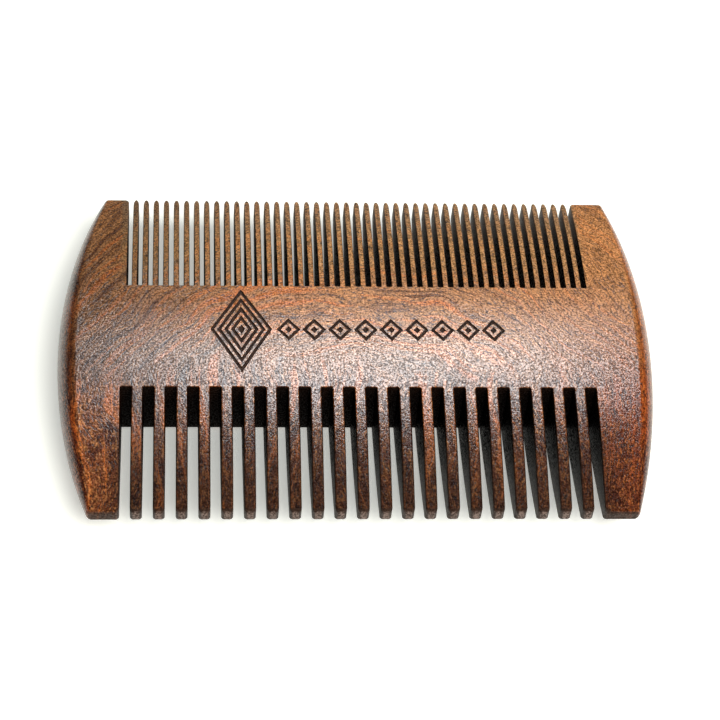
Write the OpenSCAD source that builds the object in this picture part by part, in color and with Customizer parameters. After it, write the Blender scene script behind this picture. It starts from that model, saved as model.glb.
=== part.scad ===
// Double-sided beard comb cut from one board of hardwood.
// Frame: X runs along the length, +Y points to the fine teeth, -Y to the coarse teeth,
// +Z is up. The origin is the centre of the underside, where the comb rests.
// The real comb is one piece of wood. Each node is one working region of that piece,
// and neighbouring regions meet face to face without overlapping.

/* [Board] */
// Overall length across the widest part of the two ends
comb_length = 107; // [104:0.5:112]
// Overall width from the fine tips to the coarse tips
comb_width = 69.6; // [67:0.2:72]
// Thickness along the middle of the spine
board_thickness = 13.7; // [12:0.1:15]
// Thickness at the tips of the teeth, before their edges are rounded
tip_thickness = 3; // [2.4:0.1:3.6]
// Width of the flat strip left along the middle of both faces
flat_strip_width = 10; // [6:0.5:14]

/* [Ends] */
// Plan radius of the curved end on the -X side
left_end_radius = 93; // [88:1:130]
// Plan radius of the curved end on the +X side
right_end_radius = 117; // [88:1:130]
// How far the widest point of the -X end lies off the middle, across the comb
left_end_shift = -2; // [-3:0.5:3]
// How far the widest point of the +X end lies off the middle, across the comb
right_end_shift = 1; // [-3:0.5:3]
// Radius of the rounded nose, in a section through an end
end_nose_radius = 8.6; // [7.8:0.1:10]
// Plan radius of the four outer corners
corner_radius = 1; // [0.6:0.1:3]
// Radius of the upper and lower edge of every tip
tip_edge_radius = 0.6; // [0.3:0.05:1]

/* [Coarse teeth] */
// Distance between two neighbouring coarse slots
coarse_pitch = 3.9; // [3.8:0.02:3.96]
// Width of a coarse slot
coarse_slot_width = 1.85; // [1.5:0.05:2.1]
// Length of a coarse slot from tip to root
coarse_slot_depth = 22.8; // [18:0.2:24]
// Shift of the coarse row along the length
coarse_row_shift = -0.2; // [-0.8:0.05:0.8]
// Plan radius of the two corners of a coarse tip
coarse_tip_radius = 0.5; // [0.2:0.05:0.7]

/* [Fine teeth] */
// Distance between two neighbouring fine slots
fine_pitch = 1.88; // [1.82:0.01:1.9]
// Width of a fine slot
fine_slot_width = 0.86; // [0.7:0.02:1]
// Length of a fine slot from tip to root
fine_slot_depth = 24.2; // [18:0.2:25]
// Shift of the fine row along the length
fine_row_shift = 0.43; // [-0.8:0.01:0.8]
// Length of the tapered end of a fine tooth
fine_taper_length = 2.6; // [1.5:0.1:4]
// Plan radius of the rounded point of a fine tooth
fine_point_radius = 0.26; // [0.2:0.01:0.34]

/* [Engraving] */
// Depth of the engraved ornament
engraving_depth = 0.3; // [0.15:0.05:0.5]
// Width of the engraved lines
engraving_line = 0.6; // [0.4:0.05:0.7]
// Centre of the ornament across the comb
engraving_y = 0.3; // [-1:0.1:1]
// Height of the tall lozenge, measured across the comb
lozenge_height = 18.6; // [12:0.2:19]
// Width of the tall lozenge, measured along the comb
lozenge_width = 11; // [8:0.2:12]
// Centre of the tall lozenge along the length
lozenge_x = -20.9; // [-26:0.1:-20]
// Number of nested outlines in the tall lozenge
lozenge_rings = 4; // [1:1:4]
// Share of the lozenge's size lost from one outline to the next
lozenge_step = 0.22; // [0.2:0.01:0.23]
// Centre of the band of small diamonds along the length
band_x = 5.9; // [4:0.1:8]
// Number of small diamonds in the band
band_count = 9; // [5:1:9]
// Distance between two neighbouring small diamonds
band_pitch = 4.6; // [4.2:0.05:4.8]
// Height of a small diamond, measured across the comb
band_height = 5; // [4:0.1:6]
// Size of the solid centre of a small diamond, as a share of the diamond
band_core_share = 0.3; // [0.15:0.05:0.35]

/* [Hidden] */
coarse_count = 21;
fine_count = 44;
fine_group_size = 11;
half_length = comb_length / 2;
half_width = comb_width / 2;
half_thickness = board_thickness / 2;
half_tip = tip_thickness / 2;
half_strip = flat_strip_width / 2;
// Each face is an arc through the edge of the flat strip and the edge of the tips.
// face_centre is how far the centre of that arc lies from the middle of the board.
face_centre = (pow(half_width, 2) - pow(half_strip, 2) + pow(half_tip, 2)
    - pow(half_thickness, 2)) / (2 * (half_thickness - half_tip));
face_radius = sqrt(pow(half_strip, 2) + pow(half_thickness + face_centre, 2));
coarse_root = coarse_slot_depth - half_width;
fine_root = half_width - fine_slot_depth;
coarse_tooth_width = coarse_pitch - coarse_slot_width;
fine_tooth_width = fine_pitch - fine_slot_width;
coarse_reach = (coarse_pitch * coarse_count + coarse_slot_width) / 2;
fine_reach = (fine_pitch * fine_count + fine_slot_width) / 2;
// Inner walls of the two guards beside the outermost slots
coarse_left = coarse_row_shift - coarse_reach;
coarse_right = coarse_row_shift + coarse_reach;
fine_left = fine_row_shift - fine_reach;
fine_right = fine_row_shift + fine_reach;
spine_left = min(coarse_left, fine_left);
spine_right = max(coarse_right, fine_right);
// Allowance that carries a cutting shape clear past the surface it cuts
past = 1;
arc_sides = 360;
round_sides = 48;
spine_colour = [0.50, 0.30, 0.18];
guard_colour = [0.55, 0.29, 0.15];
coarse_colour = [0.42, 0.22, 0.12];
fine_colour = [0.60, 0.38, 0.20];

// Waste outside a rounded corner, where the circle of radius big_radius centred at
// [centre, 0] meets the line y = line_y. The corner keeps the given radius.
module corner_waste(big_radius, centre, line_y, radius) {
    y = line_y - radius;
    x = centre + sqrt(pow(big_radius - radius, 2) - pow(y, 2));
    reach = 3 * radius / (big_radius - radius);
    difference() {
        polygon([
            [x, y],
            [x, line_y + past],
            [x + 3 * radius, line_y + past],
            [x + (x - centre) * reach, y + y * reach]
        ]);
        translate([x, y]) circle(r = radius, $fn = round_sides);
    }
}

// Disc whose rim is the upper face, in the section through the board
module face_disc(radius) {
    translate([-face_centre, 0]) circle(r = radius, $fn = arc_sides);
}

// Section through the board: first axis up, second axis across the comb. A positive
// inset gives the section that lies that far below both faces.
module section(inset = 0) {
    difference() {
        intersection() {
            square([board_thickness - 2 * inset, comb_width], center = true);
            face_disc(face_radius - inset);
            mirror([1, 0]) face_disc(face_radius - inset);
        }
        for (side = [0, 1])
            for (face = [0, 1])
                mirror([0, side]) mirror([face, 0])
                    corner_waste(face_radius, -face_centre, half_width, tip_edge_radius);
    }
}

// The board at full length, before its ends are curved
module board(inset = 0) {
    translate([0, 0, half_thickness])
        rotate([0, -90, 0])
            linear_extrude(height = comb_length + 2 * past, center = true)
                section(inset);
}

// Keeps the part of the board that stands over a plan outline
module board_over_plan() {
    intersection() {
        board();
        linear_extrude(height = board_thickness) children();
    }
}

// Plan rectangle from one corner to the opposite corner
module plan_box(low, high) {
    translate(low) square([high[0] - low[0], high[1] - low[1]]);
}

// Disc whose rim is a curved outer end on the +X side, widest at y = shift
module end_disc(end_radius, shift) {
    core = end_radius - end_nose_radius;
    translate([half_length - end_radius, shift, half_thickness])
        rotate_extrude($fn = arc_sides)
            union() {
                plan_box([0, -end_nose_radius], [core, end_nose_radius]);
                intersection() {
                    translate([core, 0]) circle(r = end_nose_radius, $fn = round_sides);
                    plan_box([core, -end_nose_radius], [end_radius, end_nose_radius]);
                }
            }
}

// Guard on the +X side. coarse_wall and fine_wall are its two slot walls, and
// spine_wall is where it joins the spine. end_radius and shift shape its outer end.
module guard(spine_wall, coarse_wall, fine_wall, end_radius, shift) {
    difference() {
        intersection() {
            board_over_plan() {
                plan_box([spine_wall, -half_width], [half_length, half_width]);
                plan_box([coarse_wall, -half_width], [half_length, coarse_root]);
                plan_box([fine_wall, fine_root], [half_length, half_width]);
            }
            end_disc(end_radius, shift);
        }
        for (side = [0, 1])
            translate([0, shift, 0])
                mirror([0, side, 0])
                    linear_extrude(height = board_thickness)
                        corner_waste(
                            end_radius,
                            half_length - end_radius,
                            half_width + (2 * side - 1) * shift,
                            corner_radius
                        );
    }
}

module right_guard() {
    color(guard_colour)
        guard(spine_right, coarse_right, fine_right, right_end_radius, right_end_shift);
}

module left_guard() {
    color(guard_colour)
        mirror([1, 0, 0])
            guard(-spine_left, -coarse_left, -fine_left, left_end_radius, left_end_shift);
}

// Diamond outline drawn with a line of even width. The line lies inside the diamond.
module diamond_outline(width, height) {
    // Ratio that moves each side inwards by one line width
    shrink = 1 - engraving_line * 2 * norm([width, height]) / (width * height);
    difference() {
        diamond(width, height);
        diamond(width * shrink, height * shrink);
    }
}

module diamond(width, height) {
    polygon([[-width / 2, 0], [0, -height / 2], [width / 2, 0], [0, height / 2]]);
}

// Generic ornament: nested tall lozenges, then a band of small diamonds
module ornament_plan() {
    core_share = 1 - lozenge_rings * lozenge_step;
    band_width = band_pitch - engraving_line / 2;
    translate([lozenge_x, engraving_y]) {
        for (i = [0:lozenge_rings - 1]) {
            share = 1 - i * lozenge_step;
            diamond_outline(lozenge_width * share, lozenge_height * share);
        }
        diamond(lozenge_width * core_share, lozenge_height * core_share);
    }
    for (i = [0:band_count - 1])
        translate([band_x + (i - (band_count - 1) / 2) * band_pitch, engraving_y]) {
            diamond_outline(band_width, band_height);
            diamond(band_width * band_core_share, band_height * band_core_share);
        }
}

module engraving() {
    difference() {
        translate([0, 0, half_thickness])
            linear_extrude(height = board_thickness) ornament_plan();
        board(engraving_depth);
    }
}

module spine() {
    color(spine_colour)
        difference() {
            board_over_plan()
                plan_box([spine_left, coarse_root], [spine_right, fine_root]);
            engraving();
        }
}

// Coarse tooth number i, counted from the -X end
module coarse_tooth(i) {
    x = coarse_row_shift + (i - (coarse_count + 1) / 2) * coarse_pitch;
    corner = coarse_tooth_width / 2 - coarse_tip_radius;
    color(coarse_colour)
        board_over_plan()
            translate([x, -half_width]) {
                plan_box(
                    [-coarse_tooth_width / 2, coarse_tip_radius],
                    [coarse_tooth_width / 2, coarse_slot_depth]
                );
                plan_box([-corner, 0], [corner, coarse_tip_radius]);
                for (side = [-1, 1])
                    translate([side * corner, coarse_tip_radius])
                        circle(r = coarse_tip_radius, $fn = round_sides);
            }
}

// Plan of one fine tooth, with its point at the origin and its root towards -Y
module fine_tooth_plan() {
    lean = atan((fine_tooth_width / 2 - fine_point_radius) / fine_taper_length);
    touch_x = fine_point_radius * cos(lean);
    touch_y = fine_point_radius * (sin(lean) - 1);
    shoulder = -fine_point_radius - fine_taper_length;
    polygon([
        [-fine_tooth_width / 2, -fine_slot_depth],
        [fine_tooth_width / 2, -fine_slot_depth],
        [fine_tooth_width / 2, shoulder],
        [touch_x, touch_y],
        [-touch_x, touch_y],
        [-fine_tooth_width / 2, shoulder]
    ]);
    translate([0, -fine_point_radius])
        circle(r = fine_point_radius, $fn = round_sides);
}

// Group number g of separate fine teeth, counted from the -X end
module fine_teeth(g) {
    color(fine_colour)
        for (k = [1:fine_group_size]) {
            i = (g - 1) * fine_group_size + k;
            x = fine_row_shift + (i - (fine_count + 1) / 2) * fine_pitch;
            board_over_plan()
                translate([x, half_width]) fine_tooth_plan();
        }
}

spine();
left_guard();
right_guard();
coarse_tooth(1);  // coarse_tooth_01
coarse_tooth(2);  // coarse_tooth_02
coarse_tooth(3);  // coarse_tooth_03
coarse_tooth(4);  // coarse_tooth_04
coarse_tooth(5);  // coarse_tooth_05
coarse_tooth(6);  // coarse_tooth_06
coarse_tooth(7);  // coarse_tooth_07
coarse_tooth(8);  // coarse_tooth_08
coarse_tooth(9);  // coarse_tooth_09
coarse_tooth(10);  // coarse_tooth_10
coarse_tooth(11);  // coarse_tooth_11
coarse_tooth(12);  // coarse_tooth_12
coarse_tooth(13);  // coarse_tooth_13
coarse_tooth(14);  // coarse_tooth_14
coarse_tooth(15);  // coarse_tooth_15
coarse_tooth(16);  // coarse_tooth_16
coarse_tooth(17);  // coarse_tooth_17
coarse_tooth(18);  // coarse_tooth_18
coarse_tooth(19);  // coarse_tooth_19
coarse_tooth(20);  // coarse_tooth_20
coarse_tooth(21);  // coarse_tooth_21
fine_teeth(1);  // fine_teeth_1
fine_teeth(2);  // fine_teeth_2
fine_teeth(3);  // fine_teeth_3
fine_teeth(4);  // fine_teeth_4
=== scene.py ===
"""Looks of the double-sided beard comb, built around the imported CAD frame.

The comb is one board of reddish-brown hardwood. Every CAD node is replaced by a closed
mesh of the same size with softened edges. All pieces share one coordinate space, so the
procedural wood runs on from piece to piece as it does in a single board.
Lengths in the geometry part are in millimetres and become metres in make_piece().
"""

import math
from types import SimpleNamespace

import bpy
from mathutils import Matrix, Vector
from mathutils.geometry import delaunay_2d_cdt


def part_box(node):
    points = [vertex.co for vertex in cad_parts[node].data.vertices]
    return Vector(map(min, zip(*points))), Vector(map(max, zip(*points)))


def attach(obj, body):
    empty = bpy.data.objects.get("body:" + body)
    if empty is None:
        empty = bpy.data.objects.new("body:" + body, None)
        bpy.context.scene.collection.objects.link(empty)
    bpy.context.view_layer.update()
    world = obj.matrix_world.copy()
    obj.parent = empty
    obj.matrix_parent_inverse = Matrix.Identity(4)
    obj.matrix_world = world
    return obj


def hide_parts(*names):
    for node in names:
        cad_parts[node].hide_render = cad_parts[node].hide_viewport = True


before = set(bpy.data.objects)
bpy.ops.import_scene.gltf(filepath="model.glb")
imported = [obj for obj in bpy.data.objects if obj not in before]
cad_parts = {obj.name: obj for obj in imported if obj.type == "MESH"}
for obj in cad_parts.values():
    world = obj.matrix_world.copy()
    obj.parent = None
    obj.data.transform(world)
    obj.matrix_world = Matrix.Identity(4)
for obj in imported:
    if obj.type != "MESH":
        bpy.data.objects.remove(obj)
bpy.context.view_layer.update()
MM = 0.001

# ---------------------------------------------------------------- driving dimensions

# Sizes that the frame's boxes don't show
TIP_THICKNESS = 3.0
# Plan radius of each curved end, and the y of its widest point
LEFT_END = (93.0, -2.0)
RIGHT_END = (117.0, 1.0)
CORNER_RADIUS = 1.0
FINE_GROUP_SIZE = 11

# Softened edges: how far an edge is rounded inwards (run) and downwards (drop)
COARSE_EDGE = (0.32, 0.32)
FINE_EDGE = (0.18, 0.2)
COARSE_TIP_EDGE = (0.8, 1.1)
FINE_TIP_EDGE = (0.24, 0.34)
GUARD_COARSE_TIP_EDGE = (0.8, 0.9)
GUARD_FINE_TIP_EDGE = (0.35, 0.45)
# Plan radius of the corners at the root of a slot, at a coarse tip and at a guard's tip
ROOT_RADIUS = 0.12
COARSE_TIP_RADIUS = 0.85
GUARD_INNER_RADIUS = 0.85
# Length of the rounded end of a fine tooth
FINE_POINT_LENGTH = 1.6
# The rounded nose of an end, as shares of the half thickness there
NOSE_RUN_SHARE = 0.52
NOSE_DROP_SHARE = 0.93
# How finely the surfaces are divided: the distance between stops on a straight line,
# and the number of steps over a softened edge and round a corner or a fine point
STATION_STEP = 1.1
TOOTH_LEVELS = 4
GUARD_LEVELS = 9
CORNER_STEPS = 5
HOLLOW_STEPS = 2
POINT_STEPS = 14
# Points of an outline closer than this count as one
SAME_POINT = 1e-4
# Keeps the normal of an edge that isn't drawn in from losing its direction
LEAST_RUN = 1e-6
# Tolerance of the triangulation of the two faces
PLAN_TOLERANCE = 1e-5

# Engraved ornament. A lozenge size is (width along X, height along Y).
ENGRAVING_DEPTH = 0.3
ENGRAVING_LINE = 0.6
ENGRAVING_Y = 0.3
LOZENGE_X = -20.9
LOZENGE_SIZE = (11.0, 18.6)
LOZENGE_RINGS = 4
LOZENGE_STEP = 0.22
BAND_X = 5.9
BAND_COUNT = 9
BAND_PITCH = 4.6
BAND_HEIGHT = 5.0
BAND_CORE_SHARE = 0.3


def box_mm(node):
    """Lowest and highest corner of a CAD node, in millimetres."""
    low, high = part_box(node)
    return low / MM, high / MM


SPINE_LOW, SPINE_HIGH = box_mm("spine")
LEFT_LOW = box_mm("left_guard")[0]
RIGHT_LOW, RIGHT_HIGH = box_mm("right_guard")
COARSE_NODES = sorted(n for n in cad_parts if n.startswith("coarse_tooth_"))
FINE_NODES = sorted(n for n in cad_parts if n.startswith("fine_teeth_"))

HALF_LENGTH = (RIGHT_HIGH.x - LEFT_LOW.x) / 2
HALF_WIDTH = (RIGHT_HIGH.y - RIGHT_LOW.y) / 2
HALF_THICKNESS = (SPINE_HIGH.z - SPINE_LOW.z) / 2
MID_Z = (SPINE_HIGH.z + SPINE_LOW.z) / 2
HALF_TIP = TIP_THICKNESS / 2

COARSE_BOXES = [box_mm(n) for n in COARSE_NODES]
COARSE_WIDTH = COARSE_BOXES[0][1].x - COARSE_BOXES[0][0].x
COARSE_PITCH = COARSE_BOXES[1][0].x - COARSE_BOXES[0][0].x
COARSE_CENTRES = [(low.x + high.x) / 2 for low, high in COARSE_BOXES]
COARSE_ROOT = SPINE_LOW.y

FINE_BOXES = [box_mm(n) for n in FINE_NODES]
FINE_PITCH = (FINE_BOXES[1][0].x - FINE_BOXES[0][0].x) / FINE_GROUP_SIZE
FINE_WIDTH = FINE_BOXES[0][1].x - FINE_BOXES[0][0].x - (FINE_GROUP_SIZE - 1) * FINE_PITCH
FINE_CENTRES = [
    low.x + FINE_WIDTH / 2 + k * FINE_PITCH
    for low, high in FINE_BOXES
    for k in range(FINE_GROUP_SIZE)
]
FINE_ROOT = SPINE_HIGH.y


def slots_of(centres, width, pitch):
    """Slots beside and between the teeth as (left wall, right wall), from -X to +X."""
    edges = [centres[0] - pitch] + list(centres) + [centres[-1] + pitch]
    return [(a + width / 2, b - width / 2) for a, b in zip(edges, edges[1:])]


COARSE_SLOTS = slots_of(COARSE_CENTRES, COARSE_WIDTH, COARSE_PITCH)
FINE_SLOTS = slots_of(FINE_CENTRES, FINE_WIDTH, FINE_PITCH)


def seam_x(coarse_slot, fine_slot):
    """A plane x = constant that cuts the straight root of both outermost slots."""
    low = max(coarse_slot[0], fine_slot[0]) + ROOT_RADIUS
    high = min(coarse_slot[1], fine_slot[1]) - ROOT_RADIUS
    return (low + high) / 2


LEFT_SEAM = seam_x(COARSE_SLOTS[0], FINE_SLOTS[0])
RIGHT_SEAM = seam_x(COARSE_SLOTS[-1], FINE_SLOTS[-1])

# ---------------------------------------------------------------- the faces of the board

# Both faces are arcs through the middle thickness and the tip thickness
FACE_CENTRE = (HALF_WIDTH**2 + HALF_TIP**2 - HALF_THICKNESS**2) / (
    2 * (HALF_THICKNESS - HALF_TIP)
)
FACE_RADIUS = HALF_THICKNESS + FACE_CENTRE


def half_thickness(y):
    """How far both faces lie from the middle plane of the board."""
    return math.sqrt(FACE_RADIUS**2 - y * y) - FACE_CENTRE


def face_normal(y):
    """Outward normal of the upper face."""
    return Vector((0, y, math.sqrt(FACE_RADIUS**2 - y * y))).normalized()


def stations(start, end):
    """Evenly spaced values from start to end, both included."""
    count = max(1, round(abs(end - start) / STATION_STEP))
    return [start + (end - start) * i / count for i in range(count + 1)]


# ---------------------------------------------------------------- outlines in plan


class Stop:
    """One point of a plan outline, with the outline's outward normal there and the
    softened edge above and below it: pull is how far the face's edge is drawn in."""

    def __init__(self, x, y, normal, edge, pull=None):
        run, self.drop = edge
        self.x, self.y = x, y
        self.normal = Vector(normal).normalized()
        self.pull = Vector(pull) if pull else self.normal * run

    def turned(self):
        """The same point after half a turn about Z."""
        twin = Stop(-self.x, -self.y, -self.normal, (0, self.drop))
        twin.pull = -self.pull
        return twin


def turned(path):
    """The path after half a turn about Z."""
    return [stop.turned() for stop in path]


def line(start, end, edge, ys=None):
    """Stops on a straight line, spaced evenly or at the given values of y."""
    (x0, y0), (x1, y1) = start, end
    length = math.hypot(x1 - x0, y1 - y0)
    normal = ((y1 - y0) / length, (x0 - x1) / length)
    if ys is None:
        shares = [s / length for s in stations(0, length)]
    else:
        shares = [(y - y0) / (y1 - y0) for y in ys]
    return [Stop(x0 + (x1 - x0) * t, y0 + (y1 - y0) * t, normal, edge) for t in shares]


def corner(cx, cy, radius, start, end, edges):
    """A round convex corner. The edge changes evenly from edges[0] to edges[1]."""
    stops = []
    for i in range(CORNER_STEPS + 1):
        t = i / CORNER_STEPS
        angle = math.radians(start + (end - start) * t)
        out = Vector((math.cos(angle), math.sin(angle)))
        edge = [a + (b - a) * t for a, b in zip(*edges)]
        stops.append(Stop(cx + radius * out.x, cy + radius * out.y, out, edge))
    return stops


def hollow(cx, cy, start, end, edge):
    """The small hollow corner where a slot wall meets the slot's root."""
    stops = []
    for i in range(HOLLOW_STEPS + 1):
        angle = math.radians(start + (end - start) * i / HOLLOW_STEPS)
        out = Vector((math.cos(angle), math.sin(angle)))
        stops.append(Stop(cx + ROOT_RADIUS * out.x, cy + ROOT_RADIUS * out.y, -out, edge))
    return stops


def joined(*parts):
    """One path from several, leaving out points that repeat."""
    path = []
    for part in parts:
        for stop in part:
            last = path[-1] if path else None
            if last and math.hypot(stop.x - last.x, stop.y - last.y) < SAME_POINT:
                continue
            path.append(stop)
    return path


def root_path(slot, root, edge, x_from=None, x_to=None):
    """Along the root of a slot that opens towards -Y, from one side wall to the other,
    or to a seam that cuts the root."""
    left, right = slot
    start, end = [], []
    if x_from is None:
        x_from = left + ROOT_RADIUS
        start = hollow(x_from, root - ROOT_RADIUS, 180, 90, edge)
    if x_to is None:
        x_to = right - ROOT_RADIUS
        end = hollow(x_to, root - ROOT_RADIUS, 90, 0, edge)
    return joined(start, line((x_from, root), (x_to, root), edge), end)


def coarse_outline(x):
    """A coarse tooth that points to -Y, from its root down, round the tip and up."""
    left, right = x - COARSE_WIDTH / 2, x + COARSE_WIDTH / 2
    start_y = COARSE_ROOT - ROOT_RADIUS
    radius = COARSE_TIP_RADIUS
    shoulder = -HALF_WIDTH + radius
    ys = stations(start_y, shoulder)
    to_tip = (COARSE_EDGE, COARSE_TIP_EDGE)
    return joined(
        line((left, start_y), (left, shoulder), COARSE_EDGE, ys),
        corner(left + radius, shoulder, radius, 180, 270, to_tip),
        corner(right - radius, shoulder, radius, 270, 360, to_tip[::-1]),
        line((right, shoulder), (right, start_y), COARSE_EDGE, ys[::-1]),
    )


def fine_outline(x):
    """A fine tooth that points to -Y. Its end is half of a long ellipse."""
    side = FINE_WIDTH / 2
    start_y = -FINE_ROOT - ROOT_RADIUS
    shoulder = -HALF_WIDTH + FINE_POINT_LENGTH
    ys = stations(start_y, shoulder)
    point = []
    for i in range(POINT_STEPS + 1):
        angle = math.pi * (1 + i / POINT_STEPS)
        c, s = math.cos(angle), math.sin(angle)
        edge = [a + (b - a) * abs(s) for a, b in zip(FINE_EDGE, FINE_TIP_EDGE)]
        pull = (c * FINE_EDGE[0], s * FINE_TIP_EDGE[0])
        normal = (c / side, s / FINE_POINT_LENGTH)
        point.append(Stop(x + side * c, shoulder + FINE_POINT_LENGTH * s, normal, edge, pull))
    return joined(
        line((x - side, start_y), (x - side, shoulder), FINE_EDGE, ys),
        point,
        line((x + side, shoulder), (x + side, start_y), FINE_EDGE, ys[::-1]),
    )


def guard_outline(low, high, seam, end):
    """The guard on the -X side, from the seam at the +Y root round to the seam at the
    -Y root. low and high are (root, wall, edge, tip edge) of the outermost slot on the
    -Y and the +Y side, each as if its slot opened towards -Y. end is the radius of the
    curved end and the y of its widest point."""
    end_radius, shift = end
    centre = end_radius - HALF_LENGTH

    def finger(root, wall, edge, tip_edge, shift):
        """The y where the tip's outer corner on the -Y side meets the end's arc, and
        the path from there to the seam at the root."""
        tip_y = -HALF_WIDTH
        corner_y = tip_y + CORNER_RADIUS
        reach = math.sqrt((end_radius - CORNER_RADIUS) ** 2 - (shift - corner_y) ** 2)
        corner_x = centre - reach
        tilt = math.atan2(shift - corner_y, reach)
        arc_end = shift - end_radius * math.sin(tilt)
        start = 180 + math.degrees(tilt)
        outer_edges = (nose(arc_end), tip_edge)
        radius = GUARD_INNER_RADIUS
        inner_x, inner_y = wall - radius, tip_y + radius
        return arc_end, joined(
            corner(corner_x, corner_y, CORNER_RADIUS, start, 270, outer_edges),
            line((corner_x, tip_y), (inner_x, tip_y), tip_edge),
            corner(inner_x, inner_y, radius, 270, 360, (tip_edge, edge)),
            line((wall, inner_y), (wall, root - ROOT_RADIUS), edge),
            root_path((wall, 0), root, edge, x_to=seam),
        )

    high_end, upper = finger(*high, -shift)
    low_end, lower = finger(*low, shift)
    outer = []
    for y in stations(-high_end, low_end):
        x = centre - math.sqrt(end_radius**2 - (y - shift) ** 2)
        run, drop = nose(y)
        outer.append(Stop(x, y, (x - centre, y - shift), (run, drop), (-run, 0)))
    return joined([mirrored_y(stop) for stop in reversed(upper)], outer, lower)


def nose(y):
    """Run and drop of the rounded end."""
    return NOSE_RUN_SHARE * half_thickness(y), NOSE_DROP_SHARE * half_thickness(y)


def mirrored_y(stop):
    """The same point on the other side of the X axis."""
    normal = (stop.normal.x, -stop.normal.y)
    return Stop(stop.x, -stop.y, normal, (0, stop.drop), (stop.pull.x, -stop.pull.y))


# ---------------------------------------------------------------- closed pieces


class Shell:
    """Collects the points, normals and faces of one closed piece. levels is the number
    of steps over each softened edge. A face can be flat, without shared normals, and
    burnt, with the engraving's material."""

    def __init__(self, levels):
        self.levels = levels
        self.points = []
        self.normals = []
        self.faces = []
        self.flat = []
        self.burnt = []

    def add_point(self, x, y, z, normal):
        self.points.append((x, y, z))
        self.normals.append(normal)
        return len(self.points) - 1

    def add_face(self, corners, flat=False, burnt=False):
        self.faces.append(corners)
        self.flat.append(flat)
        self.burnt.append(burnt)

    def add_column(self, stop):
        """The points over and under one stop: from the upper face, round the upper
        edge, down the wall and round the lower edge to the lower face."""
        upper, lower = [], []
        run = max(LEAST_RUN, stop.pull.dot(stop.normal))
        for k in range(self.levels + 1):
            angle = math.pi / 2 * k / self.levels
            share = 1 - math.sin(angle)
            x = stop.x - stop.pull.x * share
            y = stop.y - stop.pull.y * share
            z = half_thickness(y) - stop.drop * (1 - math.cos(angle))
            up = face_normal(y) * (math.cos(angle) * run)
            out = stop.normal.to_3d() * (math.sin(angle) * stop.drop)
            normal = (up + out).normalized()
            under = Vector((normal.x, normal.y, -normal.z))
            upper.append(self.add_point(x, y, MID_Z + z, normal))
            lower.append(self.add_point(x, y, MID_Z - z, under))
        return upper + lower[::-1]

    def add_walls(self, columns):
        for a, b in zip(columns, columns[1:]):
            for k in range(len(a) - 1):
                self.add_face((a[k], a[k + 1], b[k + 1], b[k]))

    def add_seam_points(self, x, ys):
        """Points of both faces along a seam at x, as (upper, lower) pairs."""
        pairs = []
        for y in ys:
            n = face_normal(y)
            z = half_thickness(y)
            pairs.append(
                (
                    self.add_point(x, y, MID_Z + z, n),
                    self.add_point(x, y, MID_Z - z, Vector((n.x, n.y, -n.z))),
                )
            )
        return pairs

    def add_faces_of_board(self, border, rungs=(), glyphs=()):
        """Fills the upper and the lower face inside a closed border, given as
        (upper, lower) pairs of points. Rungs are pairs of border places to join."""
        self.fill(border, rungs, 0, glyphs)
        self.fill(border, rungs, 1, ())

    def fill(self, border, rungs, side, glyphs):
        """Fills the upper face (side 0) or the lower face (side 1)."""
        count = len(border)
        coords = [Vector(self.points[up][:2]) for up, low in border]
        edges = list(rungs)
        for glyph in glyphs:
            for ring in glyph:
                first = len(coords)
                coords += [Vector(p) for p in ring]
                size = len(ring)
                edges += [(first + i, first + (i + 1) % size) for i in range(size)]
        spots, _, triangles, sources, _, _ = delaunay_2d_cdt(
            coords, edges, [list(range(count))], 1, PLAN_TOLERANCE
        )
        sign = -1 if side else 1
        index = []
        for spot, source in zip(spots, sources):
            known = [s for s in source if s < count]
            if known:
                index.append(border[known[0]][side])
                continue
            n = face_normal(spot.y)
            normal = Vector((n.x, n.y, sign * n.z))
            z = MID_Z + sign * half_thickness(spot.y)
            index.append(self.add_point(spot.x, spot.y, z, normal))
        sunk = []
        for tri in triangles:
            if in_glyphs(middle(spots, tri), glyphs):
                sunk.append(tri)
                continue
            corners = [index[i] for i in tri]
            self.add_face(tuple(corners[::-1] if side else corners))
        self.engrave(spots, index, sunk)

    def engrave(self, spots, index, sunk):
        """Sinks the given triangles of the upper face and walls them in."""
        floor = {}
        for i in sorted({i for tri in sunk for i in tri}):
            x, y = spots[i]
            z = MID_Z + half_thickness(y) - ENGRAVING_DEPTH
            floor[i] = self.add_point(x, y, z, face_normal(y))
        sides = [(tri[k], tri[(k + 1) % 3]) for tri in sunk for k in range(3)]
        inner = set(sides)
        for tri in sunk:
            self.add_face(tuple(floor[i] for i in tri), burnt=True)
        for a, b in sides:
            if (b, a) not in inner:
                self.add_face((floor[a], floor[b], index[b], index[a]), flat=True, burnt=True)


def middle(spots, tri):
    """Centre of a triangle in plan."""
    return sum((spots[i] for i in tri), Vector((0, 0))) / len(tri)


def build_tooth(shell, path):
    """Adds a closed tooth over an outline that starts and ends at the root."""
    columns = [shell.add_column(stop) for stop in path]
    shell.add_walls(columns)
    border = [(c[0], c[-1]) for c in columns]
    shell.add_faces_of_board(border)
    shell.add_face(tuple(columns[-1] + columns[0][::-1]), flat=True)


# ---------------------------------------------------------------- engraved ornament


def diamond(cx, cy, width, height):
    x, y = width / 2, height / 2
    return [(cx - x, cy), (cx, cy - y), (cx + x, cy), (cx, cy + y)]


def diamond_outline(cx, cy, width, height):
    """Two rings with an engraved line of even width between them."""
    # Ratio that moves each side inwards by one line width
    shrink = 1 - ENGRAVING_LINE * 2 * math.hypot(width, height) / (width * height)
    return [
        diamond(cx, cy, width, height),
        diamond(cx, cy, width * shrink, height * shrink),
    ]


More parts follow.
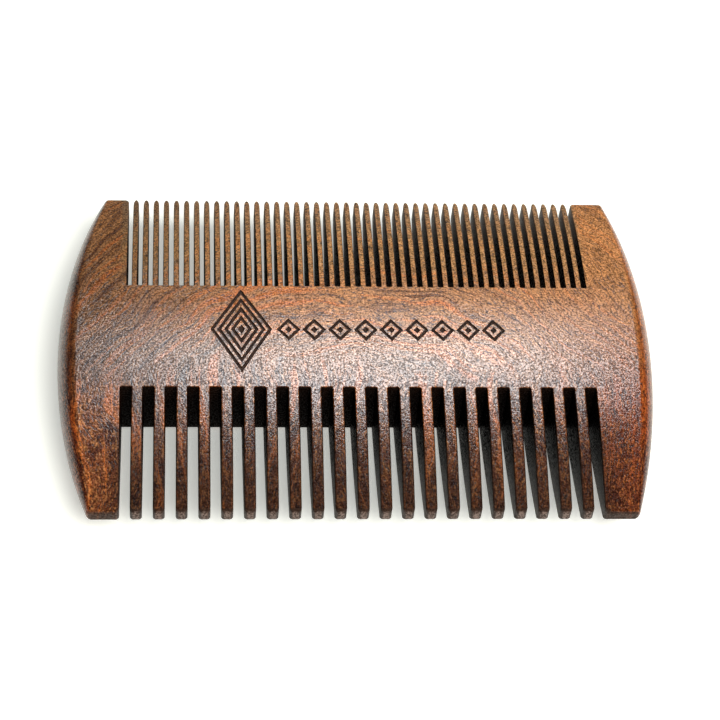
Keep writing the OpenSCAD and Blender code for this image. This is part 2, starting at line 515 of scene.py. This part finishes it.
def ornament():
    """Generic ornament: nested tall lozenges, then a band of small diamonds. Each glyph
    is a list of rings; a point is engraved when it lies inside an odd number of them."""
    width, height = LOZENGE_SIZE
    glyphs = []
    for i in range(LOZENGE_RINGS):
        share = 1 - i * LOZENGE_STEP
        glyphs.append(diamond_outline(LOZENGE_X, ENGRAVING_Y, width * share, height * share))
    share = 1 - LOZENGE_RINGS * LOZENGE_STEP
    glyphs.append([diamond(LOZENGE_X, ENGRAVING_Y, width * share, height * share)])
    width, height = BAND_PITCH - ENGRAVING_LINE / 2, BAND_HEIGHT
    for i in range(BAND_COUNT):
        x = BAND_X + (i - (BAND_COUNT - 1) / 2) * BAND_PITCH
        glyphs.append(diamond_outline(x, ENGRAVING_Y, width, height))
        core = diamond(x, ENGRAVING_Y, width * BAND_CORE_SHARE, height * BAND_CORE_SHARE)
        glyphs.append([core])
    return glyphs


def in_ring(p, ring):
    """Whether a point lies inside a closed ring."""
    inside = False
    for (x0, y0), (x1, y1) in zip(ring, ring[1:] + ring[:1]):
        if (y0 > p.y) != (y1 > p.y) and p.x < x0 + (x1 - x0) * (p.y - y0) / (y1 - y0):
            inside = not inside
    return inside


def in_glyphs(p, glyphs):
    return any(sum(in_ring(p, ring) for ring in glyph) % 2 for glyph in glyphs)


# ---------------------------------------------------------------- Blender objects


def make_piece(name, shell, materials, node):
    """Turns a shell into a Blender object that stands for a CAD node. The second
    material, if any, is for the burnt faces."""
    mesh = bpy.data.meshes.new(name)
    mesh.from_pydata([Vector(p) * MM for p in shell.points], [], shell.faces)
    for material in materials:
        mesh.materials.append(material)
    for polygon, burnt in zip(mesh.polygons, shell.burnt):
        polygon.use_smooth = True
        polygon.material_index = 1 if burnt else 0
    loop_normals = []
    sharp = set()
    for polygon, flat in zip(mesh.polygons, shell.flat):
        if flat:
            sharp.update(polygon.edge_keys)
        for v in polygon.vertices:
            loop_normals.append(polygon.normal if flat else shell.normals[v])
    for edge in mesh.edges:
        edge.use_edge_sharp = edge.key in sharp
    mesh.normals_split_custom_set([tuple(n) for n in loop_normals])
    mesh.update()
    piece = bpy.data.objects.new(name, mesh)
    bpy.context.scene.collection.objects.link(piece)
    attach(piece, "root")
    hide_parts(node)
    return piece


# ---------------------------------------------------------------- materials


def rgb(red, green, blue):
    """A linear colour from 8-bit sRGB values."""

    def linear(value):
        value /= 255
        return value / 12.92 if value <= 0.04045 else ((value + 0.055) / 1.055) ** 2.4

    return (linear(red), linear(green), linear(blue), 1.0)


DARK_WOOD = rgb(66, 28, 13)
MID_WOOD = rgb(108, 58, 29)
GOLDEN_WOOD = rgb(174, 124, 78)
ORANGE_LINE = rgb(184, 100, 42)
PALE_FIBRE = rgb(200, 136, 80)
PORE = rgb(34, 14, 7)
FINE_TOOTH = rgb(144, 114, 74)
FINE_TIP = rgb(118, 92, 68)
# Painted shade on the slot walls and end faces
PAINTED_WALL_SHADE = rgb(38, 26, 20)
# Painted light on the walls near the fine tips
FINE_TIP_WALL_PAINTED_LIGHT = rgb(96, 74, 54)
# Painted reflection of the white floor on the end faces of the coarse tips, speckled
COARSE_TIP_PAINTED_REFLECTION = (rgb(56, 44, 38), rgb(116, 98, 90))
# Painted shade, near black, deep in the slots
PAINTED_SLOT_SHADE = rgb(8, 5, 4)
# Multiplies the colour on the rim and at the right end of the coarse side
RIPE_TINT = (0.72, 0.48, 0.25, 1.0)
CHAR = rgb(20, 13, 10)
ASH = rgb(74, 56, 46)

# Where the look of the wood changes, in millimetres from the middle of the comb. Each
# change starts at the first value and is complete at the second.
BETWEEN_GUARDS_X = (42.8, 42.4)
COARSE_TIP_FACES_X = (41.2, 40.6)
FINE_TEETH_X = (43.0, 42.0)
RIM_X = (45.0, 47.0)
RIPE_X = (30.0, 52.0)
COARSE_TIP_FACES_Y = (-31.0, -33.0)
# The painted shade deep in the slots
PAINTED_SLOT_SHADE_Y = (31.0, 18.0)
GOLDEN_Y = (-20.0, 14.0)
GRAIN_TURNS_Y = (-13.0, -2.0)
RIPE_Y = (8.0, -16.0)
FINE_TEETH_Y = (9.0, 18.0)
FINE_TIPS_Y = (20.0, 33.0)

# The grain. Growth rings fall away from the middle as x * x / ARCH_CURVE, and slow
# waves shift them, the fibres and the place where the grain turns, in millimetres.
ARCH_CURVE = 75.0
RING_SLOPE_Z = 0.6
WAVE_SCALE = 0.045
RING_WAVE = 18.0
FIBRE_WAVE = 12.0
TURN_WAVE = 16.0
# Noise cells per millimetre across and along the grain
BROAD_BANDS = (0.17, 0.012)
NARROW_BANDS = (0.62, 0.03)
# How much streaks are drawn out along the arches and along the teeth
ARCH_SQUEEZE = 0.2
TOOTH_SQUEEZE = 0.12


class Graph:
    """Short names for building a material's node tree. Lengths are in millimetres."""

    def __init__(self, name):
        self.material = bpy.data.materials.new(name)
        self.material.use_nodes = True
        self.nodes = self.material.node_tree.nodes
        self.links = self.material.node_tree.links
        self.shader = self.nodes["Principled BSDF"]
        position = self.nodes.new("ShaderNodeTexCoord").outputs["Object"]
        self.place = self.vector("SCALE", position, scale=1 / MM)

    def put(self, socket, value):
        """Links a value from another node, or sets a constant."""
        if isinstance(value, bpy.types.NodeSocket):
            self.links.new(value, socket)
        else:
            socket.default_value = value

    def surface(self, inputs):
        """Sets inputs of the surface shader by name."""
        for name, value in inputs.items():
            self.put(self.shader.inputs[name], value)

    def vector(self, operation, a, b=None, scale=None):
        node = self.nodes.new("ShaderNodeVectorMath")
        node.operation = operation
        self.put(node.inputs[0], a)
        if b is not None:
            self.put(node.inputs[1], b)
        if scale is not None:
            self.put(node.inputs["Scale"], scale)
        return node.outputs["Value" if operation == "LENGTH" else "Vector"]

    def math(self, operation, a, b=0.0, c=0.0):
        node = self.nodes.new("ShaderNodeMath")
        node.operation = operation
        for socket, value in zip(node.inputs, (a, b, c)):
            self.put(socket, value)
        return node.outputs[0]

    def times(self, a, b):
        return self.math("MULTIPLY", a, b)

    def add_times(self, a, b, c):
        """a times b, plus c."""
        return self.math("MULTIPLY_ADD", a, b, c)

    def rest(self, share):
        """What a share leaves of 1."""
        return self.math("SUBTRACT", 1.0, share)

    def size(self, value):
        return self.math("ABSOLUTE", value)

    def split(self, vector):
        node = self.nodes.new("ShaderNodeSeparateXYZ")
        self.put(node.inputs[0], vector)
        return node.outputs

    def join(self, x, y, z):
        node = self.nodes.new("ShaderNodeCombineXYZ")
        for socket, value in zip(node.inputs, (x, y, z)):
            self.put(socket, value)
        return node.outputs[0]

    def noise(self, vector, scale=1.0, detail=2.0, roughness=0.5, colour=False):
        node = self.nodes.new("ShaderNodeTexNoise")
        self.put(node.inputs["Vector"], vector)
        self.put(node.inputs["Scale"], scale)
        self.put(node.inputs["Detail"], detail)
        self.put(node.inputs["Roughness"], roughness)
        return node.outputs["Color" if colour else "Fac"]

    def span(self, value, low, high, to_low=0.0, to_high=1.0):
        """Moves values between low and high to the new limits, with soft ends."""
        node = self.nodes.new("ShaderNodeMapRange")
        node.interpolation_type = "SMOOTHSTEP"
        for name, v in (
            ("Value", value),
            ("From Min", low),
            ("From Max", high),
            ("To Min", to_low),
            ("To Max", to_high),
        ):
            self.put(node.inputs[name], v)
        return node.outputs["Result"]

    def blend(self, share, a, b, mode="MIX"):
        node = self.nodes.new("ShaderNodeMix")
        node.data_type = "RGBA"
        node.blend_type = mode
        self.put(node.inputs["Factor"], share)
        for name, value in (("A", a), ("B", b)):
            socket = next(s for s in node.inputs if s.name == name and s.type == "RGBA")
            self.put(socket, value)
        return next(s for s in node.outputs if s.type == "RGBA")

    def bands(self, across, along, scales, seed):
        """Long soft bands that run in the `along` direction."""
        across_scale, along_scale = scales
        place = self.join(
            self.times(across, across_scale), self.times(along, along_scale), seed
        )
        return self.noise(place, 1.0, 3.0, 0.6)

    def streaks(self, across, along, z, squeeze):
        """Fibres, pores and light flecks, drawn out in the `along` direction."""
        place = self.join(across, self.times(along, squeeze), z)
        fibre = self.noise(place, 1.7, 3.0, 0.7)
        place = self.join(across, self.times(along, squeeze * 1.5), z)
        pore = self.span(self.noise(place, 4.2, 1.0, 0.5), 0.54, 0.68)
        elsewhere = self.vector("ADD", place, (40.0, 11.0, 5.0))
        fleck = self.span(self.noise(elsewhere, 3.4, 1.0, 0.5), 0.53, 0.68)
        return fibre, pore, fleck

    def bump(self, height, depth):
        """Raises the surface by height (0 to 1) times depth."""
        node = self.nodes.new("ShaderNodeBump")
        node.inputs["Strength"].default_value = 1.0
        node.inputs["Distance"].default_value = depth * MM
        self.put(node.inputs["Height"], height)
        return node.outputs["Normal"]


def wood_zones(g):
    """Shares from 0 to 1 that mark where the look of the wood differs."""
    x, y, _ = g.split(g.place)
    off_x, off_y = g.size(x), g.size(y)
    normal = g.nodes.new("ShaderNodeNewGeometry").outputs["Normal"]
    facing_x, facing_y, facing_z = (g.size(part) for part in g.split(normal))
    upright = g.span(facing_z, 0.985, 0.7)
    end_grain = g.span(facing_y, 0.8, 0.97)
    sawn = g.times(upright, g.math("MAXIMUM", g.span(off_x, *BETWEEN_GUARDS_X), end_grain))
    tip_face = g.times(end_grain, g.span(off_x, *COARSE_TIP_FACES_X))
    return SimpleNamespace(
        # The rounded outer edge of the guards
        rim=g.times(g.span(facing_x, 0.1, 0.5), g.span(off_x, *RIM_X)),
        # Slot walls and end faces, and the painted shade deep in the slots
        sawn=sawn,
        painted_slot_shade=g.times(sawn, g.span(off_y, *PAINTED_SLOT_SHADE_Y)),
        # End faces of the coarse tips, where the painted floor reflection goes
        coarse_tip_face=g.times(tip_face, g.span(y, *COARSE_TIP_FACES_Y)),
        fine_tooth=g.times(g.span(y, *FINE_TEETH_Y), g.span(off_x, *FINE_TEETH_X)),
        # The warm right end of the coarse side
        ripe=g.times(g.span(x, *RIPE_X), g.span(y, *RIPE_Y)),
    )


def wood_grain(g, rim):
    """Bands, fibres and pores of the wood. They follow the growth rings' arches on the
    fine side, and run along the teeth on the coarse side and on the rim."""
    x, y, z = g.split(g.place)
    wave = g.noise(g.place, WAVE_SCALE, 2.0, colour=True)
    wave_x, wave_y, wave_z = g.split(g.vector("SUBTRACT", wave, (0.5, 0.5, 0.5)))
    arch = g.add_times(g.times(x, x), 1 / ARCH_CURVE, y)
    ring = g.math("ADD", g.add_times(wave_x, RING_WAVE, arch), g.times(z, RING_SLOPE_Z))
    across = g.add_times(wave_y, FIBRE_WAVE, x)
    arched = (g.bands(ring, x, NARROW_BANDS, 3.0), *g.streaks(ring, x, z, ARCH_SQUEEZE))
    straight = (g.bands(across, y, NARROW_BANDS, 8.0), *g.streaks(across, y, z, TOOTH_SQUEEZE))
    to_arch = g.span(g.add_times(wave_z, TURN_WAVE, y), *GRAIN_TURNS_Y)
    to_arch = g.times(to_arch, g.rest(rim))
    narrow, fibre, pore, fleck = (
        g.add_times(to_arch, g.math("SUBTRACT", a, b), b) for a, b in zip(arched, straight)
    )
    return SimpleNamespace(
        broad=g.bands(ring, x, BROAD_BANDS, 0.0),
        narrow=narrow,
        fibre=fibre,
        pore=pore,
        fleck=fleck,
        grit=g.noise(g.place, 3.0, 1.0, 0.6),
    )


def speckle_and_painted_light(g, grit):
    """Speckled brightness with painted shade, darker towards the coarse tips and the left
    end, and painted light, lighter towards the fine tips."""
    x, y, _ = g.split(g.place)
    value = g.span(grit, 0.3, 0.7, 0.4, 1.6)
    # Painted shade: darker towards the coarse tips, and towards the left end except at the
    # coarse tips
    painted_shade_to_coarse_tips = g.times(
        g.span(y, -34.0, 0.0, 0.8, 0.0), g.span(g.size(x), 41.0, 46.0, 1.0, 0.4)
    )
    painted_shade_to_left_end = g.times(g.span(x, -58.0, 0.0, 0.6, 0.0), g.span(y, -24.0, -4.0))
    for shade in (painted_shade_to_coarse_tips, painted_shade_to_left_end):
        value = g.times(value, g.rest(shade))
    # Painted light: lighter towards the fine tips
    return g.times(value, g.span(y, 8.0, 24.0, 1.0, 1.18))


def wood_colour(g, zones, grain):
    x, y, _ = g.split(g.place)
    lined = g.span(x, 22.0, 44.0, 0.75, 0.35)
    fine_tip = g.times(zones.fine_tooth, g.span(y, *FINE_TIPS_Y, 0.0, 0.7))
    colour = g.blend(g.span(grain.broad, 0.34, 0.58), DARK_WOOD, MID_WOOD)
    for share, tone in (
        (g.times(g.span(y, *GOLDEN_Y), 0.7), GOLDEN_WOOD),
        (g.times(lined, g.span(grain.narrow, 0.52, 0.62)), ORANGE_LINE),
        (g.times(lined, g.span(grain.narrow, 0.47, 0.37)), DARK_WOOD),
        (g.span(grain.fibre, 0.52, 0.72, 0.0, 0.5), PALE_FIBRE),
        (g.span(grain.fibre, 0.48, 0.28, 0.0, 0.65), DARK_WOOD),
        (g.times(grain.fleck, 0.4), PALE_FIBRE),
        (g.times(zones.fine_tooth, 0.5), FINE_TOOTH),
        (fine_tip, FINE_TIP),
        (g.times(grain.pore, 0.8), PORE),
    ):
        colour = g.blend(share, colour, tone)
    # The speckle, the painted shade and the painted light multiply the colour
    value = speckle_and_painted_light(g, grain.grit)
    colour = g.blend(1.0, colour, g.join(value, value, value), "MULTIPLY")
    tinted = g.math("MAXIMUM", zones.rim, zones.ripe)
    colour = g.blend(tinted, colour, RIPE_TINT, "MULTIPLY")

    # Painted shade darkens the slot walls and end faces and turns near black deep in the
    # slots. A painted floor reflection lightens the coarse tips' end faces, and painted light
    # the walls near the fine tips.
    # Painted floor reflection, speckled, on the end faces of the coarse tips
    painted_reflection = g.blend(g.span(grain.grit, 0.35, 0.65), *COARSE_TIP_PAINTED_REFLECTION)
    painted_wall_colour = g.blend(zones.coarse_tip_face, PAINTED_WALL_SHADE, painted_reflection)
    # Painted light on the walls towards the fine tips
    painted_wall_colour = g.blend(g.span(y, *FINE_TIPS_Y), painted_wall_colour, FINE_TIP_WALL_PAINTED_LIGHT)
    # Painted shade on the slot walls and end faces
    colour = g.blend(g.times(zones.sawn, 0.8), colour, painted_wall_colour)
    # Painted shade, near black, deep in the slots
    return g.blend(g.times(zones.painted_slot_shade, 0.9), colour, PAINTED_SLOT_SHADE)


def make_wood():
    """Oiled, sanded reddish-brown hardwood. Pores and sawn walls stay dull."""
    g = Graph("comb_wood")
    zones = wood_zones(g)
    grain = wood_grain(g, zones.rim)
    rough = g.add_times(g.span(grain.fibre, 0.3, 0.7), -0.03, 0.23)
    rough = g.add_times(zones.sawn, 0.25, rough)
    shine = g.span(grain.grit, 0.36, 0.64, 0.12, 0.48)
    shine = g.times(shine, g.add_times(zones.sawn, -0.5, 1.0))
    height = g.add_times(grain.pore, -0.25, grain.grit)
    g.surface(
        {
            "Base Color": wood_colour(g, zones, grain),
            "Roughness": g.add_times(grain.pore, 0.1, rough),
            "IOR": 1.5,
            # Painted shade also dims the shine deep in the slots
            "Specular IOR Level": g.add_times(zones.painted_slot_shade, -0.12, shine),
            "Normal": g.bump(height, 0.03),
        }
    )
    return g.material


def make_burnt():
    """Floor and walls of the laser-burnt engraving: dull charcoal with ashy grit."""
    g = Graph("burnt_wood")
    grit = g.noise(g.place, 4.0, 3.0, 0.7)
    g.surface(
        {
            "Base Color": g.blend(g.span(grit, 0.35, 0.7), CHAR, ASH),
            "Roughness": 0.85,
            "Specular IOR Level": 0.15,
            "Normal": g.bump(grit, 0.12),
        }
    )
    return g.material


WOOD = make_wood()
BURNT = make_burnt()

# ---------------------------------------------------------------- the pieces of the comb


def make_coarse_teeth():
    for node, x in zip(COARSE_NODES, COARSE_CENTRES):
        shell = Shell(TOOTH_LEVELS)
        build_tooth(shell, coarse_outline(x))
        make_piece(node + "_wood", shell, [WOOD], node)


def make_fine_teeth():
    for group, node in enumerate(FINE_NODES):
        shell = Shell(TOOTH_LEVELS)
        first = group * FINE_GROUP_SIZE
        for x in FINE_CENTRES[first : first + FINE_GROUP_SIZE]:
            build_tooth(shell, turned(fine_outline(-x)))
        make_piece(node + "_wood", shell, [WOOD], node)


def seam_ys():
    """The y of the points along a seam, between the two roots."""
    low = COARSE_ROOT + COARSE_EDGE[0]
    high = FINE_ROOT - FINE_EDGE[0]
    return stations(low, high)[1:-1]


def build_guard(node, path, seam, turn):
    """A guard, from its outline and the x of its seam. turn is True on the +X side,
    where the outline runs the other way along Y."""
    shell = Shell(GUARD_LEVELS)
    columns = [shell.add_column(stop) for stop in path]
    shell.add_walls(columns)
    ys = seam_ys()[::-1] if turn else seam_ys()
    seam_points = shell.add_seam_points(seam, ys)
    shell.add_faces_of_board([(c[0], c[-1]) for c in columns] + seam_points)
    add_seam_cap(shell, columns[-1], columns[0], seam_points)
    make_piece(node + "_wood", shell, [WOOD], node)


def make_guards():
    coarse = (COARSE_EDGE, GUARD_COARSE_TIP_EDGE)
    fine = (FINE_EDGE, GUARD_FINE_TIP_EDGE)
    path = guard_outline(
        (COARSE_ROOT, COARSE_SLOTS[0][0], *coarse),
        (-FINE_ROOT, FINE_SLOTS[0][0], *fine),
        LEFT_SEAM,
        LEFT_END,
    )
    build_guard("left_guard", path, LEFT_SEAM, False)
    # The right guard is drawn as a left one with the sides swapped, then turned
    radius, shift = RIGHT_END
    path = guard_outline(
        (-FINE_ROOT, -FINE_SLOTS[-1][1], *fine),
        (COARSE_ROOT, -COARSE_SLOTS[-1][1], *coarse),
        -RIGHT_SEAM,
        (radius, -shift),
    )
    build_guard("right_guard", turned(path), RIGHT_SEAM, True)


def root_row(shell, slots, root, edge, seams, turn):
    """The walls along a row of slot roots that opens towards -Y, or towards +Y with
    turn. Returns the border points and the first and last column."""
    border = []
    last = first = None
    for i, slot in enumerate(slots):
        x_from = seams[0] if i == 0 else None
        x_to = seams[1] if i == len(slots) - 1 else None
        path = root_path(slot, root, edge, x_from, x_to)
        columns = [shell.add_column(stop) for stop in (turned(path) if turn else path)]
        shell.add_walls(columns)
        border += [(c[0], c[-1]) for c in columns]
        if last:
            shell.add_face(tuple(last + columns[0][::-1]), flat=True)
        first = first or columns[0]
        last = columns[-1]
    return border, first, last


def add_seam_cap(shell, start, end, seam_points):
    """Closes the piece along a seam that runs from column start to column end."""
    cap = start + [low for up, low in seam_points]
    cap += end[::-1] + [up for up, low in reversed(seam_points)]
    shell.add_face(tuple(cap), flat=True)


def make_spine():
    shell = Shell(TOOTH_LEVELS)
    ys = seam_ys()
    coarse, coarse_first, coarse_last = root_row(
        shell, COARSE_SLOTS, COARSE_ROOT, COARSE_EDGE, (LEFT_SEAM, RIGHT_SEAM), False
    )
    right = shell.add_seam_points(RIGHT_SEAM, ys)
    turned_slots = [(-b, -a) for a, b in reversed(FINE_SLOTS)]
    fine, fine_first, fine_last = root_row(
        shell, turned_slots, -FINE_ROOT, FINE_EDGE, (-RIGHT_SEAM, -LEFT_SEAM), True
    )
    left = shell.add_seam_points(LEFT_SEAM, ys[::-1])
    add_seam_cap(shell, coarse_last, fine_first, right)
    add_seam_cap(shell, fine_last, coarse_first, left)
    border = coarse + right + fine + left
    last = len(border) - 1
    rungs = [(len(coarse) + i, last - i) for i in range(len(ys))]
    shell.add_faces_of_board(border, rungs, ornament())
    make_piece("spine_wood", shell, [WOOD, BURNT], "spine")


make_coarse_teeth()
make_fine_teeth()
make_guards()
make_spine()

# ---------------------------------------------------------------- floor, light, camera

# Camera, in millimetres and degrees, around the point on the upper face it looks at
CAMERA_TARGET = (-0.03, -6.41, 13.7)
CAMERA_DISTANCE = 408.1
CAMERA_ELEVATION = 53.24
CAMERA_AZIMUTH = -7.67
CAMERA_ROLL = 6.41
CAMERA_LENS = 115.4
CAMERA_NEAREST = 10
# Light given off by the backlit floor near the comb and far from it, and the distances
# between which it changes
FLOOR_GLOW = 0.4
FAR_GLOW = 1.0
FAR_FROM = (400.0, 1200.0)
# Half the width of the floor and the height of the wall round it, in metres
FLOOR_REACH = 3.0
WALL_HEIGHT = 1.5
FLOOR_CORNERS = [
    (-FLOOR_REACH, -FLOOR_REACH),
    (FLOOR_REACH, -FLOOR_REACH),
    (FLOOR_REACH, FLOOR_REACH),
    (-FLOOR_REACH, FLOOR_REACH),
]
# Light that comes evenly from all round
AMBIENT_LIGHT = 0.22


def make_camera():
    elevation = math.radians(CAMERA_ELEVATION)
    azimuth = math.radians(CAMERA_AZIMUTH)
    back = Vector(
        (
            math.sin(azimuth) * math.cos(elevation),
            -math.cos(azimuth) * math.cos(elevation),
            math.sin(elevation),
        )
    )
    data = bpy.data.cameras.new("camera")
    data.lens = CAMERA_LENS
    camera = bpy.data.objects.new("camera", data)
    bpy.context.scene.collection.objects.link(camera)
    camera.location = (Vector(CAMERA_TARGET) + back * CAMERA_DISTANCE) * MM
    look = back.to_track_quat("Z", "Y").to_matrix()
    roll = Matrix.Rotation(math.radians(CAMERA_ROLL), 3, "Z")
    camera.rotation_euler = (look @ roll).to_euler()
    data.clip_start = CAMERA_NEAREST * MM
    bpy.context.scene.camera = camera


def make_sheet(name, points, faces):
    """A plain object beside the comb, and the graph of its material."""
    mesh = bpy.data.meshes.new(name)
    mesh.from_pydata(points, [], faces)
    sheet = bpy.data.objects.new(name, mesh)
    bpy.context.scene.collection.objects.link(sheet)
    g = Graph(name + "_paper")
    mesh.materials.append(g.material)
    return sheet, g


def make_floor():
    """A sheet of white paper lit from behind."""
    floor, g = make_sheet("floor", [(x, y, 0) for x, y in FLOOR_CORNERS], [(0, 1, 2, 3)])
    glow = g.span(g.vector("LENGTH", g.place), *FAR_FROM, FLOOR_GLOW, FAR_GLOW)
    g.surface(
        {
            "Base Color": (0.82, 0.85, 0.82, 1),
            "Roughness": 0.9,
            "Specular IOR Level": 0.1,
            "Emission Color": (0.97, 1.0, 0.95, 1),
            "Emission Strength": glow,
        }
    )


def make_wall():
    """A white wall round the floor that hides the horizon and gives no light."""
    points = [(x, y, z) for z in (0, WALL_HEIGHT) for x, y in FLOOR_CORNERS]
    faces = [(i, (i + 1) % 4, (i + 1) % 4 + 4, i + 4) for i in range(4)]
    wall, g = make_sheet("wall", points, faces)
    g.surface(
        {
            "Base Color": (0, 0, 0, 1),
            "Specular IOR Level": 0.0,
            "Emission Color": (1, 1, 1, 1),
            "Emission Strength": FAR_GLOW,
        }
    )
    wall.visible_diffuse = wall.visible_glossy = wall.visible_shadow = False


def make_area_light(name, azimuth, elevation, distance, size, power, colour, roll=0):
    """A light that looks at the comb. Angles are in degrees: azimuth 0 is over the fine
    side (+Y) and 90 is over the right end (+X). Its distance and its size (wide, high)
    are in metres."""
    a, e = math.radians(azimuth), math.radians(elevation)
    out = Vector((math.sin(a) * math.cos(e), math.cos(a) * math.cos(e), math.sin(e)))
    data = bpy.data.lights.new(name, "AREA")
    data.shape = "RECTANGLE"
    data.size, data.size_y = size
    data.energy = power
    data.color = colour
    light = bpy.data.objects.new(name, data)
    bpy.context.scene.collection.objects.link(light)
    light.location = out * distance
    look = out.to_track_quat("Z", "Y").to_matrix()
    light.rotation_euler = (look @ Matrix.Rotation(math.radians(roll), 3, "Z")).to_euler()
    return light


def make_lights():
    # The highlight along the spine, from behind the comb
    key = make_area_light(
        "key",
        azimuth=13,
        elevation=62.3,
        distance=0.4,
        size=(0.16, 0.14),
        power=1.7,
        colour=(0.8, 0.94, 1.0),
        roll=25,
    )
    key.visible_diffuse = False
    # Broad light from the front right
    side = make_area_light(
        "side",
        azimuth=138,
        elevation=56,
        distance=1.1,
        size=(0.9, 0.9),
        power=22,
        colour=(1.0, 0.96, 0.9),
    )
    side.visible_glossy = False
    world = bpy.data.worlds.new("studio")
    world.use_nodes = True
    background = world.node_tree.nodes["Background"]
    background.inputs["Color"].default_value = (1, 1, 1, 1)
    background.inputs["Strength"].default_value = AMBIENT_LIGHT
    bpy.context.scene.world = world
    bpy.context.scene.view_settings.view_transform = "Standard"


make_camera()
make_floor()
make_wall()
make_lights()
